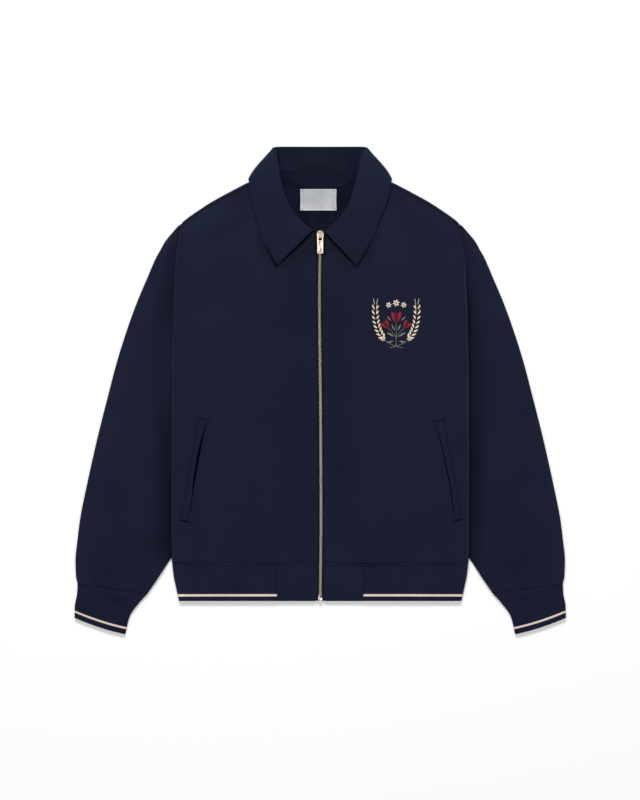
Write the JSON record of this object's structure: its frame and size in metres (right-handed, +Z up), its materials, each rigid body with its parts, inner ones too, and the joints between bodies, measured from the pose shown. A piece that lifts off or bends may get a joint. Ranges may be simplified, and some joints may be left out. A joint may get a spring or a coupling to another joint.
{
  "type": "bomber jacket",
  "caption": "Zip-up bomber jacket laid flat on its back, with a turned-down collar, slanted welt pockets and ribbed hem and cuffs.",
  "frame": {"origin": "centre of the jacket's bounding box, on the surface that it lies on", "axes": "+X to the wearer's left, +Y from the hem to the collar, +Z up from the surface through the back panel to the front"},
  "size_m": [0.81, 0.8037, 0.0122],
  "materials": {
    "navy_twill": "matt brushed cotton twill",
    "navy_rib": "ribbed knit with a cream stripe",
    "neck_facing": "plain weave",
    "label_satin": "blank woven satin",
    "zip_tape": "woven tape",
    "zip_metal": "pale gold plate"
  },
  "bodies": {
    "garment": {"back_neck_facing": "neck_facing", "back_panel": "navy_twill", "collar": "navy_twill", "cuff_left": "navy_rib", "cuff_right": "navy_rib", "front_left": "navy_twill", "front_right": "navy_twill", "hem_rib": "navy_rib", "hem_tab_left": "navy_twill", "hem_tab_right": "navy_twill", "neck_label": "label_satin", "pocket_welt_left": "navy_twill", "pocket_welt_right": "navy_twill", "sleeve_left": "navy_twill", "sleeve_right": "navy_twill", "zip_box": "zip_metal", "zip_chain_left": "zip_metal", "zip_chain_right": "zip_metal", "zip_slider": "zip_metal", "zip_tape_left": "zip_tape", "zip_tape_right": "zip_tape"},
    "pull_tab": {"zip_pull": "zip_metal"}
  },
  "joints": [
    {"name": "pull_hinge", "type": "hinge", "parent": "garment", "child": "pull_tab", "pos_m": [0, 0.2555, 0.0096], "axis": [-1, 0, 0], "range_deg": [0, 170]}
  ]
}
